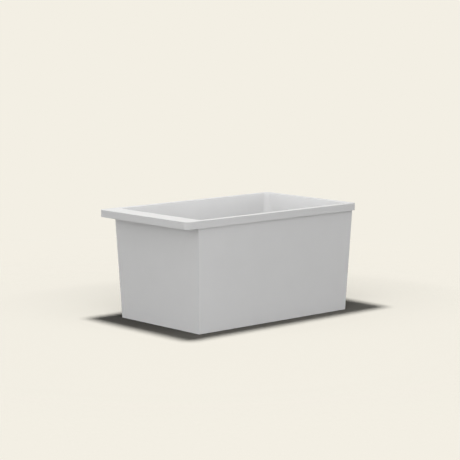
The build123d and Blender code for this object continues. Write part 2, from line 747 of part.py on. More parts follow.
def make_knob():
    """Round knob with two finger scallops, which hides the overflow and works the plug."""
    knob = disc(KNOB_R, KNOB_STANDOFF, KNOB_STANDOFF + KNOB_T)
    scallop_y = KNOB_R + KNOB_SCALLOP_R - KNOB_SCALLOP_DEPTH
    for y in (-scallop_y, scallop_y):
        knob = knob - disc(KNOB_SCALLOP_R, KNOB_STANDOFF, KNOB_STANDOFF + KNOB_T, 0.0, y)
    knob = fillet(knob.faces().sort_by(Axis.Z)[-1].edges(), KNOB_EDGE_R)
    return OVERFLOW * (knob - disc(SPINDLE_R, KNOB_STANDOFF, KNOB_STANDOFF + SPINDLE_SEAT))


def make_spindle():
    """Spindle with the crank that pulls the cable."""
    z0 = BODY_BACK + OVERFLOW_WALL + SPINDLE_END_GAP
    rod = disc(SPINDLE_R, z0, KNOB_STANDOFF + SPINDLE_SEAT)
    crank = block(0, CRANK_R - SPINDLE_R, -SPINDLE_R, SPINDLE_R, z0, z0 + CRANK_T)
    crank = crank + disc(SPINDLE_R, z0, z0 + CRANK_T, CRANK_R - SPINDLE_R)
    return OVERFLOW * (rod + crank)


# Hose and cable from the overflow to the waste


def run_points(across, drop, end_x):
    """Route beside the wall: down its slope from a drop below the overflow, then level to end_x."""
    start = OVERFLOW.from_local_coords((across, -drop, SPIGOT_DEPTH))
    slope = sin(RECLINE_ANGLE) / cos(RECLINE_ANGLE)
    corner_x = start.X + (start.Z - INLET_Z) * slope
    return [(start.X, across, start.Z), (corner_x, across, INLET_Z), (end_x, across, INLET_Z)]


def swept_tube(points, outer, inner=0.0):
    """Tube along straight runs joined by one tangent arc."""
    path = FilletPolyline(*points, radius=HOSE_BEND_R)
    section = Plane(origin=path @ 0, z_dir=path % 0) * Circle(outer)
    if inner:
        section = section - Plane(origin=path @ 0, z_dir=path % 0) * Circle(inner)
    return sweep(section, path=path)


def hose_ends():
    """Drop below the overflow where the hose starts, and x where it stops short of the waste body."""
    return OVERFLOW_R + HOSE_END_GAP, WASTE_X - BODY_R - HOSE_END_GAP


def make_hose():
    """Overflow hose, pushed over a spigot at each end."""
    drop, end_x = hose_ends()
    return swept_tube(run_points(0.0, drop, end_x), HOSE_R, SPIGOT_R)


def make_hose_nuts():
    """Clamp sleeves over both ends of the hose."""
    drop, end_x = hose_ends()
    points = run_points(0.0, drop, end_x)
    slope = (sin(RECLINE_ANGLE), 0, -cos(RECLINE_ANGLE))
    nuts = []
    for at, way in ((points[0], slope), (points[-1], (-1, 0, 0))):
        frame = Plane(origin=at, z_dir=way)
        nuts.append(frame * ring(HOSE_NUT_R, HOSE_R, 0, HOSE_NUT_LENGTH))
    return group(nuts)


def make_cable():
    """Sheath of the control cable, beside the hose from cup to waste body."""
    drop = sqrt(OVERFLOW_R ** 2 - (CABLE_OFFSET - CABLE_R) ** 2) + CABLE_END_GAP
    end_x = WASTE_X - sqrt(BODY_R ** 2 - (CABLE_OFFSET - CABLE_R) ** 2) - CABLE_END_GAP
    return swept_tube(run_points(CABLE_OFFSET, drop, end_x), CABLE_R)


def clip_drops():
    """Drops below the overflow of the clips, spread over the straight stretch of the hose."""
    start, corner, _ = run_points(0.0, OVERFLOW_R, 0.0)
    bend = HOSE_BEND_R * tan((pi / 2 - RECLINE_ANGLE) / 2)
    last = dist(start, corner) - bend - CLIP_END_GAP - CLIP_W
    step = (last - CLIP_START) / (CLIP_COUNT - 1)
    return [OVERFLOW_R + CLIP_START + step * i for i in range(CLIP_COUNT)]


def make_clips():
    """Clips that hold the cable to the hose."""
    clips = []
    for drop in clip_drops():
        at = run_points(0.0, drop, 0.0)[0]
        frame = Plane(origin=at, x_dir=(0, 1, 0), z_dir=(sin(RECLINE_ANGLE), 0, -cos(RECLINE_ANGLE)))
        body = disc(HOSE_R + CLIP_WALL, 0, CLIP_W) + disc(CABLE_R + CLIP_WALL, 0, CLIP_W, CABLE_OFFSET)
        web = block(0, CABLE_OFFSET, -CLIP_WALL, CLIP_WALL, 0, CLIP_W)
        body = body + web - disc(HOSE_R, 0, CLIP_W) - disc(CABLE_R, 0, CLIP_W, CABLE_OFFSET)
        clips.append(frame * body)
    return group(clips)


def save(name, shape):
    """Write one node."""
    export_step(shape, f"parts/{name}.step")


save("bath_shell", make_shell())
for side_name in ("front", "back", "left", "right"):
    save(f"{side_name}_panel", make_panel(side_name))
    save(f"{side_name}_batten", make_batten(side_name))
save("panel_bead", make_bead())
save("front_left_angle", make_angle(True, True))
save("front_right_angle", make_angle(False, True))
save("back_right_angle", make_angle(False, False))
save("back_left_angle", make_angle(True, False))
save("base_board", make_base_board())
save("deck_board", make_deck_board())
save("front_rail", make_rail(-1))
save("back_rail", make_rail(1))
save("left_cross_rail", make_cross_rail(cross_rail_xs()[0]))
save("right_cross_rail", make_cross_rail(cross_rail_xs()[1]))
save("rail_end_caps", make_end_caps())
save("board_screws", make_board_screws())
save("panel_straps", make_straps())
save("strap_screws", make_strap_screws())
save("rivet_nuts", make_rivet_nuts())
for number, (foot_x, foot_y) in enumerate(foot_points(), 1):
    save(f"foot_{number}_pad", make_pad(foot_x, foot_y))
    save(f"foot_{number}_stud", make_stud(foot_x, foot_y))
    save(f"foot_{number}_lock_nut", make_lock_nut(foot_x, foot_y))
save("waste_flange", make_waste_flange())
save("flange_gasket", ring(FLANGE_R - FLANGE_GASKET_INSET, WASTE_HOLE_R, BASIN_FLOOR_Z, FLANGE_Z, WASTE_X))
save("waste_gasket", ring(BODY_FLANGE_R, WASTE_HOLE_R, BODY_TOP_Z, SHELL_UNDERSIDE_Z, WASTE_X))
save("waste_body", make_waste_body())
save("tail_washer", ring(NECK_R, NECK_BORE_R, TAIL_TOP_Z, NECK_Z, WASTE_X))
save("tail_pipe", make_tail_pipe())
save("tail_nut", make_tail_nut())
save("plug_cap", make_plug_cap())
save("plug_seal", ring(SEAL_R, SEAL_BORE_R, FLANGE_TOP_Z, FLANGE_TOP_Z + SEAL_T, WASTE_X))
save("plug_stem", make_plug_stem())
save("lift_lever", make_lever())
save("lever_pin", make_lever_pin())
save("overflow_body", make_overflow_body())
save("overflow_gasket", make_overflow_gasket())
save("overflow_plate", make_face_plate())
save("plate_screws", make_plate_screws())
save("overflow_knob", make_knob())
save("knob_spindle", make_spindle())
save("overflow_hose", make_hose())
save("hose_nuts", make_hose_nuts())
save("control_cable", make_cable())
save("cable_clips", make_clips())

print("knob", KNOB_TURN, "deg lifts the plug", round(LIFT, 4), "and tilts the lever", LEVER_SWING, "deg")
print("waste x", round(WASTE_X, 3), "lever pivot", round(LEVER_X, 3), LEVER_Z)
print("overflow at", [round(v, 3) for v in OVERFLOW_AT], "axis", [round(v, 6) for v in OVERFLOW_AXIS])
print("cable clips", [round(drop, 2) for drop in clip_drops()], "below the overflow")
print("feet", [(round(x, 3), round(y, 3)) for x, y in foot_points()], "travel", FOOT_TRAVEL)
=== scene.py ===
# %% [markdown]
# A short freestanding bathtub: a moulded white shell with a flat rim and a wide deck at one end, leaning
# skirt panels, and under it the boards, steel cradle, feet and waste that such a tub stands on and drains by.
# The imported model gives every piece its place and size. This lesson adds finishes to those pieces, makes finer
# meshes for a few of them, and sets up the camera, the floor and the light.

# %% Load the frame
import json
from math import pi, radians

import bmesh
import bpy
import numpy as np
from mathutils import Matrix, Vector

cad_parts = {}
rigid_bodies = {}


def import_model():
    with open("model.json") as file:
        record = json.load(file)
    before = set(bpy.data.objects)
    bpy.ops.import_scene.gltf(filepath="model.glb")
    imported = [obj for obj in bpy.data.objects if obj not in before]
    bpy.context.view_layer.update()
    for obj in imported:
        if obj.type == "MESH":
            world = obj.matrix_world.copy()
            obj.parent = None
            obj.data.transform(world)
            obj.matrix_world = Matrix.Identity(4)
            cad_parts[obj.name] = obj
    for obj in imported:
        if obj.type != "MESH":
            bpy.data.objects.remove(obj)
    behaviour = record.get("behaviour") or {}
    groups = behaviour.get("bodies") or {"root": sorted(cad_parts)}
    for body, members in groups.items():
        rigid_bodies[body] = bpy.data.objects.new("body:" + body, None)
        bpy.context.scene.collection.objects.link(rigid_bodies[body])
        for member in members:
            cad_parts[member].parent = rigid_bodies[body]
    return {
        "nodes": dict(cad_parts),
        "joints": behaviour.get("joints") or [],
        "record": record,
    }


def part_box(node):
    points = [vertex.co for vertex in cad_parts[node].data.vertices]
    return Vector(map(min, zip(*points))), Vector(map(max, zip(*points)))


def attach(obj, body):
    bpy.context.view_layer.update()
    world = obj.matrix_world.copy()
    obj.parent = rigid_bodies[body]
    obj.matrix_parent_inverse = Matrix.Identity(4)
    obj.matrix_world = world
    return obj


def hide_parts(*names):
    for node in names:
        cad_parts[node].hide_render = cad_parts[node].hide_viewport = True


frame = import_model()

scene = bpy.context.scene
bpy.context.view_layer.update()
nodes = frame["nodes"]
slot_of = {part["node"]: part["material_slot"] for part in frame["record"]["subparts"]}
MM = 0.001

# %% [markdown]
# The photograph was taken from a long way off with a long lens, a little above the rim, so upright edges stay
# almost upright and both long sides run nearly parallel. Position, direction and lens were worked out
# together, from where the corners of the rim and of the skirt fall in the picture.

# %% Camera
CAMERA_AT = (-6.0394, -6.7110, 1.6952)
CAMERA_YAW = 41.985
CAMERA_PITCH = 7.838
LENS_MM = 134.96
SENSOR_MM = 36.0

lens = bpy.data.cameras.new("photo_camera")
lens.lens = LENS_MM
lens.sensor_width = SENSOR_MM
lens.sensor_fit = "HORIZONTAL"
camera = bpy.data.objects.new("photo_camera", lens)
camera.location = CAMERA_AT
camera.rotation_euler = (radians(90 - CAMERA_PITCH), 0, radians(-CAMERA_YAW))
scene.collection.objects.link(camera)
scene.camera = camera
print("camera", CAMERA_AT, "lens", LENS_MM, "mm")

# %% [markdown]
# Colours are easiest to read as the hex values of a paint chart, but shaders count light, which is linear.
# One function turns the first into the second. A second small function adds any node, with its settings,
# plain input values and links, so that each finish below reads as a short list of what it is made of.

# %% Colour and node helpers
SHADE_A, SHADE_B, SHADE_OUT = 6, 7, 2  # where the Mix node keeps its two colours and their blend


def linear(chart):
    """Linear RGBA of an sRGB hex colour: below the toe divide by 12.92, above it a power of 2.4."""
    srgb = np.array([int(chart[i:i + 2], 16) for i in (1, 3, 5)]) / 255
    light = np.where(srgb <= 0.04045, srgb / 12.92, ((srgb + 0.055) / 1.055) ** 2.4)
    return (*light.tolist(), 1.0)


def add(tree, kind, inputs=None, **settings):
    """Add one node: settings are its properties, and each input is a plain value or a socket to link."""
    node = tree.nodes.new(kind)
    for name, value in settings.items():
        setattr(node, name, value)
    for name, value in (inputs or {}).items():
        if isinstance(value, bpy.types.NodeSocket):
            tree.links.new(value, node.inputs[name])
        else:
            node.inputs[name].default_value = value
    return node


def per_mm(size):
    """Texture scale that gives features about this many millimetres across."""
    return 1 / (size * MM)


def new_finish(name):
    """Empty node material: its tree, its surface shader and the piece's own coordinates in metres."""
    material = bpy.data.materials.new(name)
    material.use_nodes = True
    tree = material.node_tree
    tree.nodes.clear()
    surface = add(tree, "ShaderNodeBsdfPrincipled")
    add(tree, "ShaderNodeOutputMaterial", {"Surface": surface.outputs["BSDF"]})
    place = add(tree, "ShaderNodeTexCoord").outputs["Object"]
    return material, tree, surface, place


finishes = {}
print("white f0 is", [round(v, 3) for v in linear("#f0f0f0")])

# %% [markdown]
# Most finishes on this tub are one stuff all through, such as acrylic, rubber or plate, and what saves them from
# looking like paper is small: the tint and the gloss drift together over patches, and the skin has a fine
# relief. So one function makes that kind of finish from sizes in millimetres. Image textures would do it too,
# but they would have to be painted, and they stretch.

# %% Finish of one stuff
DRIFT_LOW, DRIFT_HIGH = 0.3, 0.7  # a noise seldom leaves this range


def join(tree, surface, tint, gloss, skin):
    """Feed a tint, a roughness and a relief to the surface shader."""
    tree.links.new(tint, surface.inputs["Base Color"])
    tree.links.new(gloss, surface.inputs["Roughness"])
    tree.links.new(skin, surface.inputs["Normal"])


def one_stuff(name, shades, patch_mm, roughness, grain_mm, relief_mm, metallic=0.0, ior=None):
    """Tint and roughness both follow one noise of patch size, and the relief follows another of grain size."""
    material, tree, surface, place = new_finish(name)
    patch = add(tree, "ShaderNodeTexNoise", {"Vector": place, "Scale": per_mm(patch_mm), "Detail": 3.0})
    drift = patch.outputs["Fac"]
    tint = add(tree, "ShaderNodeMix", {"Factor": drift, SHADE_A: linear(shades[0]), SHADE_B: linear(shades[1])},
               data_type="RGBA")
    gloss = add(tree, "ShaderNodeMapRange", {"Value": drift, "From Min": DRIFT_LOW, "From Max": DRIFT_HIGH,
                                             "To Min": roughness[0], "To Max": roughness[1]})
    grain = add(tree, "ShaderNodeTexNoise", {"Vector": place, "Scale": per_mm(grain_mm), "Detail": 2.0})
    skin = add(tree, "ShaderNodeBump", {"Height": grain.outputs["Fac"], "Distance": relief_mm * MM})
    join(tree, surface, tint.outputs[SHADE_OUT], gloss.outputs["Result"], skin.outputs["Normal"])
    surface.inputs["Metallic"].default_value = metallic
    if ior:
        surface.inputs["IOR"].default_value = ior
    print(name, "shades", *shades, "patches of", patch_mm, "mm")
    return material


# %% [markdown]
# The shell of a real tub is a sheet of white acrylic, drawn down hot over a mould and backed with glass fibre.
# The draw leaves a satin skin with a very faint orange peel, and the sheet is a hair thinner, so a hair
# greyer, where it stretched most. The photograph shows no sharp highlight on it, so its gloss is kept low.

# %% Satin acrylic of the shell
finishes["white_acrylic"] = one_stuff(
    "satin_cast_acrylic", ("#e0e0e0", "#e7e7e7"), patch_mm=180, roughness=(0.52, 0.6),
    grain_mm=7, relief_mm=0.01, ior=1.49)

# %% [markdown]
# The skirt panels are flat acrylic-capped sheets with a matt face. They stand under the rim, out of the
# bather's reach, and show even light with only a soft pebble in it.

# %% Matt face of the skirt panels
finishes["white_panel"] = one_stuff(
    "matt_acrylic_panel", ("#e5e5e5", "#eaeaea"), patch_mm=140, roughness=(0.56, 0.64),
    grain_mm=3, relief_mm=0.006, ior=1.49)

# %% [markdown]
# A bead of white adhesive sealant bonds the panel tops to the rim. It is pressed flat as it cures, and it has
# a slightly warmer white than acrylic, a rubbery dullness and the small ripples of the nozzle.

# %% Cured sealant of the bead
finishes["white_sealant"] = one_stuff(
    "cured_white_sealant", ("#dddbd3", "#efede6"), patch_mm=25, roughness=(0.62, 0.78),
    grain_mm=4, relief_mm=0.15, ior=1.43)

# %% [markdown]
# The battens along the feet of the panels are planed pine. A sawn strip shows growth rings cut lengthwise:
# pale spring wood with narrow darker lines of summer wood, all running along the strip. A noise that is
# squeezed along the grain gives those lines. The strips run two ways, so the same recipe is made once for each.

# %% Planed pine of the battens
RING_MM = 3.5
RING_FROM, RING_TO = 0.52, 0.66  # part of the noise that is summer wood
CLOUD_MM = 30
PINE_STRETCH = 45
PINE_RELIEF_MM = 0.12


def planed_pine(name, squeeze):
    """Bands of a noise that is stretched along the strip: narrow dark rings in a pale ground, with fine pores."""
    material, tree, surface, place = new_finish(name)
    along = add(tree, "ShaderNodeMapping", {"Vector": place, "Scale": squeeze}).outputs["Vector"]
    rings = add(tree, "ShaderNodeTexNoise", {"Vector": along, "Scale": per_mm(RING_MM), "Detail": 3.0})
    lines = add(tree, "ShaderNodeMapRange", {"Value": rings.outputs["Fac"],
                                             "From Min": RING_FROM, "From Max": RING_TO})
    cloud = add(tree, "ShaderNodeTexNoise", {"Vector": along, "Scale": per_mm(CLOUD_MM), "Detail": 1.0})
    ground = add(tree, "ShaderNodeMix", {"Factor": cloud.outputs["Fac"], SHADE_A: linear("#dcb984"),
                                         SHADE_B: linear("#ecd2a4")}, data_type="RGBA")
    tint = add(tree, "ShaderNodeMix", {"Factor": lines.outputs["Result"], SHADE_A: ground.outputs[SHADE_OUT],
                                       SHADE_B: linear("#b98b52")}, data_type="RGBA")
    gloss = add(tree, "ShaderNodeMapRange", {"Value": rings.outputs["Fac"], "To Min": 0.66, "To Max": 0.5})
    skin = add(tree, "ShaderNodeBump", {"Height": rings.outputs["Fac"], "Distance": PINE_RELIEF_MM * MM})
    join(tree, surface, tint.outputs[SHADE_OUT], gloss.outputs["Result"], skin.outputs["Normal"])
    print(name, "rings of", RING_MM, "mm, drawn out", PINE_STRETCH, "times")
    return material


finishes["softwood"] = planed_pine("planed_pine_long", (1 / PINE_STRETCH, 1, 1))
pine_across = planed_pine("planed_pine_short", (1, 1 / PINE_STRETCH, 1))

# %% [markdown]
# The board under the basin is birch plywood. Its faces show the broad, wandering figure of a veneer peeled from
# a turning log, and its edges show the plies, light and dark in turn as the grain of each crosses the next.
# One material does both: the way the surface faces decides which of the two is seen.

# %% Birch plywood of the base board
FIGURE_MM = 55
FIGURE_SQUEEZE = 0.18  # the figure runs along the board
FIGURE_BANDS = 6
FIGURE_RELIEF_MM = 0.2
material, tree, surface, place = new_finish("birch_plywood")
drawn = add(tree, "ShaderNodeMapping", {"Vector": place, "Scale": (FIGURE_SQUEEZE, 1, 1)}).outputs["Vector"]
figure = add(tree, "ShaderNodeTexNoise", {"Vector": drawn, "Scale": per_mm(FIGURE_MM), "Detail": 4.0,
                                          "Distortion": 0.6})
bands = add(tree, "ShaderNodeMath", {0: figure.outputs["Fac"], 1: 2 * pi * FIGURE_BANDS},
            operation="MULTIPLY")
waves = add(tree, "ShaderNodeMath", {0: bands.outputs[0]}, operation="SINE")
veneer = add(tree, "ShaderNodeMapRange", {"Value": waves.outputs[0], "From Min": -1.0, "From Max": 1.0})
face = add(tree, "ShaderNodeMix", {"Factor": veneer.outputs["Result"], SHADE_A: linear("#d6b98a"),
                                   SHADE_B: linear("#e6cfa6")}, data_type="RGBA")
print(material.name, "figure of", FIGURE_MM, "mm in", FIGURE_BANDS, "bands")

# %% Plies on the edges of the base board
PLY_MM = 1.5
LEVEL_FACE = 0.5  # steeper than this is an edge
height = add(tree, "ShaderNodeSeparateXYZ", {0: place}).outputs["Z"]
plies = add(tree, "ShaderNodeMath", {0: height, 1: per_mm(2 * PLY_MM)}, operation="MULTIPLY")
odd = add(tree, "ShaderNodeMath", {0: plies.outputs[0]}, operation="FRACT")
dark_ply = add(tree, "ShaderNodeMath", {0: odd.outputs[0], 1: 0.5}, operation="GREATER_THAN")
edge = add(tree, "ShaderNodeMix", {"Factor": dark_ply.outputs[0], SHADE_A: linear("#e0c79b"),
                                   SHADE_B: linear("#a07a4a")}, data_type="RGBA")
normal = add(tree, "ShaderNodeNewGeometry").outputs["Normal"]
facing = add(tree, "ShaderNodeSeparateXYZ", {0: normal}).outputs["Z"]
flat = add(tree, "ShaderNodeMath", {0: facing}, operation="ABSOLUTE")
is_face = add(tree, "ShaderNodeMath", {0: flat.outputs[0], 1: LEVEL_FACE}, operation="GREATER_THAN")
tint = add(tree, "ShaderNodeMix", {"Factor": is_face.outputs[0], SHADE_A: edge.outputs[SHADE_OUT],
                                   SHADE_B: face.outputs[SHADE_OUT]}, data_type="RGBA")
gloss = add(tree, "ShaderNodeMapRange", {"Value": figure.outputs["Fac"], "To Min": 0.7, "To Max": 0.55})
skin = add(tree, "ShaderNodeBump", {"Height": figure.outputs["Fac"], "Distance": FIGURE_RELIEF_MM * MM})
join(tree, surface, tint.outputs[SHADE_OUT], gloss.outputs["Result"], skin.outputs["Normal"])
finishes["plywood"] = material
print(material.name, "plies of", PLY_MM, "mm")

# %% [markdown]
# The board under the deck can be seen from a low seat, and steam reaches it, so it is primed white. Brushed
# primer is flat and chalky, a little uneven in shade, and keeps the low ridges of the brush and of the wood.

# %% White primer on the deck board
finishes["primed_board"] = one_stuff(
    "white_primed_plywood", ("#dddcd8", "#e8e7e4"), patch_mm=45, roughness=(0.68, 0.82),
    grain_mm=3, relief_mm=0.1, ior=1.5)

# %% [markdown]
# The corner angles are extruded aluminium, left as it came from the mill. The die drags fine lines along the
# length, which spread reflections sideways into a soft grey. The angles stand upright, so the lines run along
# Z. Real die lines are a few tenths of a millimetre apart. They are drawn coarser here, so that they show.

# %% Mill aluminium of the corner angles
DIE_LINE_MM = 1.2
DIE_SQUEEZE = 0.01  # a line runs a hundred times its width
DIE_RELIEF_MM = 0.03
material, tree, surface, place = new_finish("mill_finish_aluminium")
drawn = add(tree, "ShaderNodeMapping", {"Vector": place, "Scale": (1, 1, DIE_SQUEEZE)}).outputs["Vector"]
die = add(tree, "ShaderNodeTexNoise", {"Vector": drawn, "Scale": per_mm(DIE_LINE_MM), "Detail": 2.0})
tint = add(tree, "ShaderNodeMix", {"Factor": die.outputs["Fac"], SHADE_A: linear("#c9cbcd"),
                                   SHADE_B: linear("#dee0e1")}, data_type="RGBA")
gloss = add(tree, "ShaderNodeMapRange", {"Value": die.outputs["Fac"], "To Min": 0.28, "To Max": 0.46})
skin = add(tree, "ShaderNodeBump", {"Height": die.outputs["Fac"], "Distance": DIE_RELIEF_MM * MM})
join(tree, surface, tint.outputs[SHADE_OUT], gloss.outputs["Result"], skin.outputs["Normal"])
surface.inputs["Metallic"].default_value = 1.0
finishes["aluminium_angle"] = material
print(material.name, "die lines", DIE_LINE_MM, "mm apart")

# %% [markdown]
# The cradle is square steel tube, dipped in zinc. As the zinc freezes it grows crystals a finger wide, each
# with its own grey and its own gloss: the spangle. Voronoi cells have just that shape, so each cell's random
# colour becomes the shade and the roughness of one crystal.

# %% Galvanised steel of the cradle
SPANGLE_MM = 12
FROST_MM = 2.5
FROST_RELIEF_MM = 0.04
material, tree, surface, place = new_finish("galvanised_steel")
crystal = add(tree, "ShaderNodeTexVoronoi", {"Vector": place, "Scale": per_mm(SPANGLE_MM)})
lot = add(tree, "ShaderNodeSeparateColor", {0: crystal.outputs["Color"]})
tint = add(tree, "ShaderNodeMix", {"Factor": lot.outputs["Red"], SHADE_A: linear("#a9aeb2"),
                                   SHADE_B: linear("#ccd0d3")}, data_type="RGBA")
gloss = add(tree, "ShaderNodeMapRange", {"Value": lot.outputs["Green"], "To Min": 0.3, "To Max": 0.55})
frost = add(tree, "ShaderNodeTexNoise", {"Vector": place, "Scale": per_mm(FROST_MM), "Detail": 3.0})
skin = add(tree, "ShaderNodeBump", {"Height": frost.outputs["Fac"], "Distance": FROST_RELIEF_MM * MM})
join(tree, surface, tint.outputs[SHADE_OUT], gloss.outputs["Result"], skin.outputs["Normal"])
surface.inputs["Metallic"].default_value = 1.0
finishes["galvanised_steel"] = material
print(material.name, "crystals of", SPANGLE_MM, "mm")

# %% [markdown]
# Studs, nuts and screws are bright zinc plate over steel: a thin silvery coat with a passing blue and straw
# tint from its passivating bath. Black fittings are moulded nylon with the fine grain of a spark-cut mould.
# Seals are nitrile rubber, dull, with a grey bloom.

# %% Zinc plate, black nylon and rubber
finishes["zinc_steel"] = one_stuff(
    "bright_zinc_plate", ("#cfd6de", "#e2dccb"), patch_mm=6, roughness=(0.2, 0.34),
    grain_mm=1.2, relief_mm=0.01, metallic=1.0)
finishes["black_plastic"] = one_stuff(
    "moulded_black_nylon", ("#161617", "#2a2a2b"), patch_mm=18, roughness=(0.42, 0.58),
    grain_mm=1.0, relief_mm=0.05, ior=1.53)
finishes["black_rubber"] = one_stuff(
    "nitrile_rubber", ("#121212", "#2c2c2a"), patch_mm=9, roughness=(0.7, 0.86),
    grain_mm=1.6, relief_mm=0.05, ior=1.52)

# %% [markdown]
# The waste and overflow bodies are grey polypropylene, as most plumbing under a tub is: waxy, with faint flow
# marks from the mould. Hose and cable sheath are softened PVC, darker and a little shinier.

# %% Polypropylene and PVC
finishes["grey_polypropylene"] = one_stuff(
    "moulded_grey_polypropylene", ("#94989b", "#acafb1"), patch_mm=22, roughness=(0.36, 0.5),
    grain_mm=2.0, relief_mm=0.03, ior=1.49)
finishes["hose_pvc"] = one_stuff(
    "soft_grey_pvc", ("#43464a", "#5c5f64"), patch_mm=14, roughness=(0.34, 0.5),
    grain_mm=1.5, relief_mm=0.03, ior=1.53)

# %% [markdown]
# What the bather touches is chromed: waste flange, plug cap, overflow plate and knob. Chrome is nearly a
# mirror, very slightly blue, and what makes it real is a faint haze where water has dried. The stem, lever
# and spindle inside are turned brass.

# %% Chrome and brass
finishes["chrome"] = one_stuff(
    "polished_chrome", ("#d9dde1", "#e6e8ea"), patch_mm=12, roughness=(0.05, 0.13),
    grain_mm=8, relief_mm=0.004, metallic=1.0)
finishes["brass"] = one_stuff(
    "turned_brass", ("#b98f45", "#d9b565"), patch_mm=7, roughness=(0.2, 0.34),
    grain_mm=0.9, relief_mm=0.012, metallic=1.0)

# %% [markdown]
# The record says which slot each node belongs to, and each slot now has its finish. Only the short battens
# differ from their slot: their grain runs across the tub.

# %% Put each finish on its nodes
for name, piece in nodes.items():
    piece.material_slots[0].material = finishes[slot_of[name]]
for name in ("left_batten", "right_batten"):
    nodes[name].material_slots[0].material = pine_across
print("finishes", sorted({piece.material_slots[0].material.name for piece in nodes.values()}))

# %% [markdown]
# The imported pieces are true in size, but a few are plainer than the real thing: a stud is a smooth rod, a nut
# has no chamfer, a screw has no recess and the hose has no ribs. Each of these gets a finer mesh in the same
# place, which stands for its node. All are worked out as grids of points, rows along the piece and columns
# round it, so one function can turn any set of such grids into a mesh.

# %% Mesh from grids of points
DOUBLE_MM = 0.001  # points nearer than this are one
body_of = {node: body for body, names in frame["record"]["behaviour"]["bodies"].items() for node in names}


def ring_faces(rows, columns):
    """Corner numbers of the quads of a grid whose last column joins its first."""
    row = np.arange(rows - 1)[:, None] * columns
    column = np.arange(columns)
    right = (column + 1) % columns
    quads = np.stack([row + column, row + right, row + columns + right, row + columns + column], axis=-1)
    return quads.reshape(-1, 4)


def stand_for(node, grids, crease=35):
    """Mesh of several grids, each rows x columns x xyz: doubles merged, faces outwards, creases kept crisp."""
    starts = np.cumsum([0] + [grid.shape[0] * grid.shape[1] for grid in grids])
    faces = np.concatenate([ring_faces(*grid.shape[:2]) + start for grid, start in zip(grids, starts)])
    mesh = bpy.data.meshes.new(node + "_fine")
    mesh.from_pydata(np.concatenate([grid.reshape(-1, 3) for grid in grids]).tolist(), [], faces.tolist())
    work = bmesh.new()
    work.from_mesh(mesh)
    bmesh.ops.remove_doubles(work, verts=work.verts, dist=DOUBLE_MM * MM)
    bmesh.ops.recalc_face_normals(work, faces=work.faces)
    work.to_mesh(mesh)
    work.free()
    mesh.shade_smooth()
    mesh.set_sharp_from_angle(angle=radians(crease))
    mesh.materials.append(finishes[slot_of[node]])
    piece = bpy.data.objects.new(node + "_fine", mesh)
    scene.collection.objects.link(piece)
    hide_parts(node)
    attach(piece, body_of[node])
    return piece


def box(node):
    """Lowest and highest corner of a node, as arrays."""
    return np.array(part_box(node)[0]), np.array(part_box(node)[1])


# %% [markdown]
# Each foot stands on a threaded stud, which lets it be screwed up or down on an uneven floor. A screw thread is
# a ridge that climbs one pitch for each turn. So the radius dips by a triangle wave of height less angle, and
# a helix needs no path of its own. Both ends are cut by a cone, as a die leaves them.

# %% Threaded studs of the feet
PITCH_MM = 1.75
THREAD_MM = 1.0
END_CONE_MM = 1.0
ROWS_A_TURN = 8
COLUMNS = 32


def threaded_rod(low, high):
    """Radius = outer radius less a triangle wave that climbs one pitch a turn, and no more than the end cones."""
    centre, outer = (low + high) / 2, (high[0] - low[0]) / 2
    rows = int((high[2] - low[2]) / (PITCH_MM * MM) * ROWS_A_TURN)
    z = np.linspace(low[2], high[2], rows)[:, None]
    angle = np.linspace(0, 2 * pi, COLUMNS, endpoint=False)
    climb = (z - low[2]) / (PITCH_MM * MM) - angle / (2 * pi)
    dip = THREAD_MM * MM * np.abs(2 * (climb % 1) - 1)
    cone = outer - END_CONE_MM * MM + np.minimum(z - low[2], high[2] - z)
    radius = np.pad(np.minimum(outer - dip, cone), ((1, 1), (0, 0)))
    z = np.pad(z, ((1, 1), (0, 0)), mode="edge") + 0 * angle
    return np.stack([centre[0] + radius * np.cos(angle), centre[1] + radius * np.sin(angle), z], axis=-1)


for foot in (1, 2, 3, 4):
    piece = stand_for(f"foot_{foot}_stud", [threaded_rod(*box(f"foot_{foot}_stud"))], crease=60)
print("studs, each", len(piece.data.polygons), "faces, pitch", PITCH_MM, "mm")

# %% [markdown]
# The lock nut under the rail is a hexagon whose corners are turned off by a cone on both faces. That cut leaves
# the curved line that every nut has along the top of each flat. The cone and the hexagon are both known, so
# the height at which they meet is worked out for each column, and no cutting tool is needed.

# %% Chamfered lock nuts
NUT_COLUMNS = 96
NUT_CONE = np.tan(radians(30))
NUT_CROWN = 0.97


def chamfered_nut(low, high, bore):
    """Outside radius = half the width across flats over the cosine of the angle from the nearest flat. Each face
    ends on a circle, and the flats stop short of it by the cone's fall from that circle to the hexagon."""
    centre, flat = (low + high) / 2, (high[1] - low[1]) / 2
    angle = np.linspace(0, 2 * pi, NUT_COLUMNS, endpoint=False)
    hexagon = flat / np.cos(angle % (pi / 3) - pi / 6)
    circle = np.full_like(angle, flat * NUT_CROWN)
    inside = np.full_like(angle, bore)
    fall = (hexagon - circle) * NUT_CONE
    bottom, top = np.full_like(angle, low[2]), np.full_like(angle, high[2])
    radius = np.stack([inside, circle, hexagon, hexagon, circle, inside, inside])
    z = np.stack([bottom, bottom, bottom + fall, top - fall, top, top, bottom])
    return np.stack([centre[0] + radius * np.cos(angle), centre[1] + radius * np.sin(angle), z], axis=-1)


for foot in (1, 2, 3, 4):
    stud_low, stud_high = box(f"foot_{foot}_stud")
    bore = (stud_high[0] - stud_low[0]) / 2
    piece = stand_for(f"foot_{foot}_lock_nut", [chamfered_nut(*box(f"foot_{foot}_lock_nut"), bore)], crease=20)
print("lock nuts, each", len(piece.data.polygons), "faces")

# %% [markdown]
# Screws hold the base board and the straps. A pan head is a low dome with a cross recess for the driver. On a
# polar grid the dome is a height that falls with the radius, and the recess is a depth that grows inside two
# crossed bars, so one formula gives the whole head. Where each screw stands, and which way up, is read from
# its node: the points are gathered into one group a screw, and the wider end is the head.

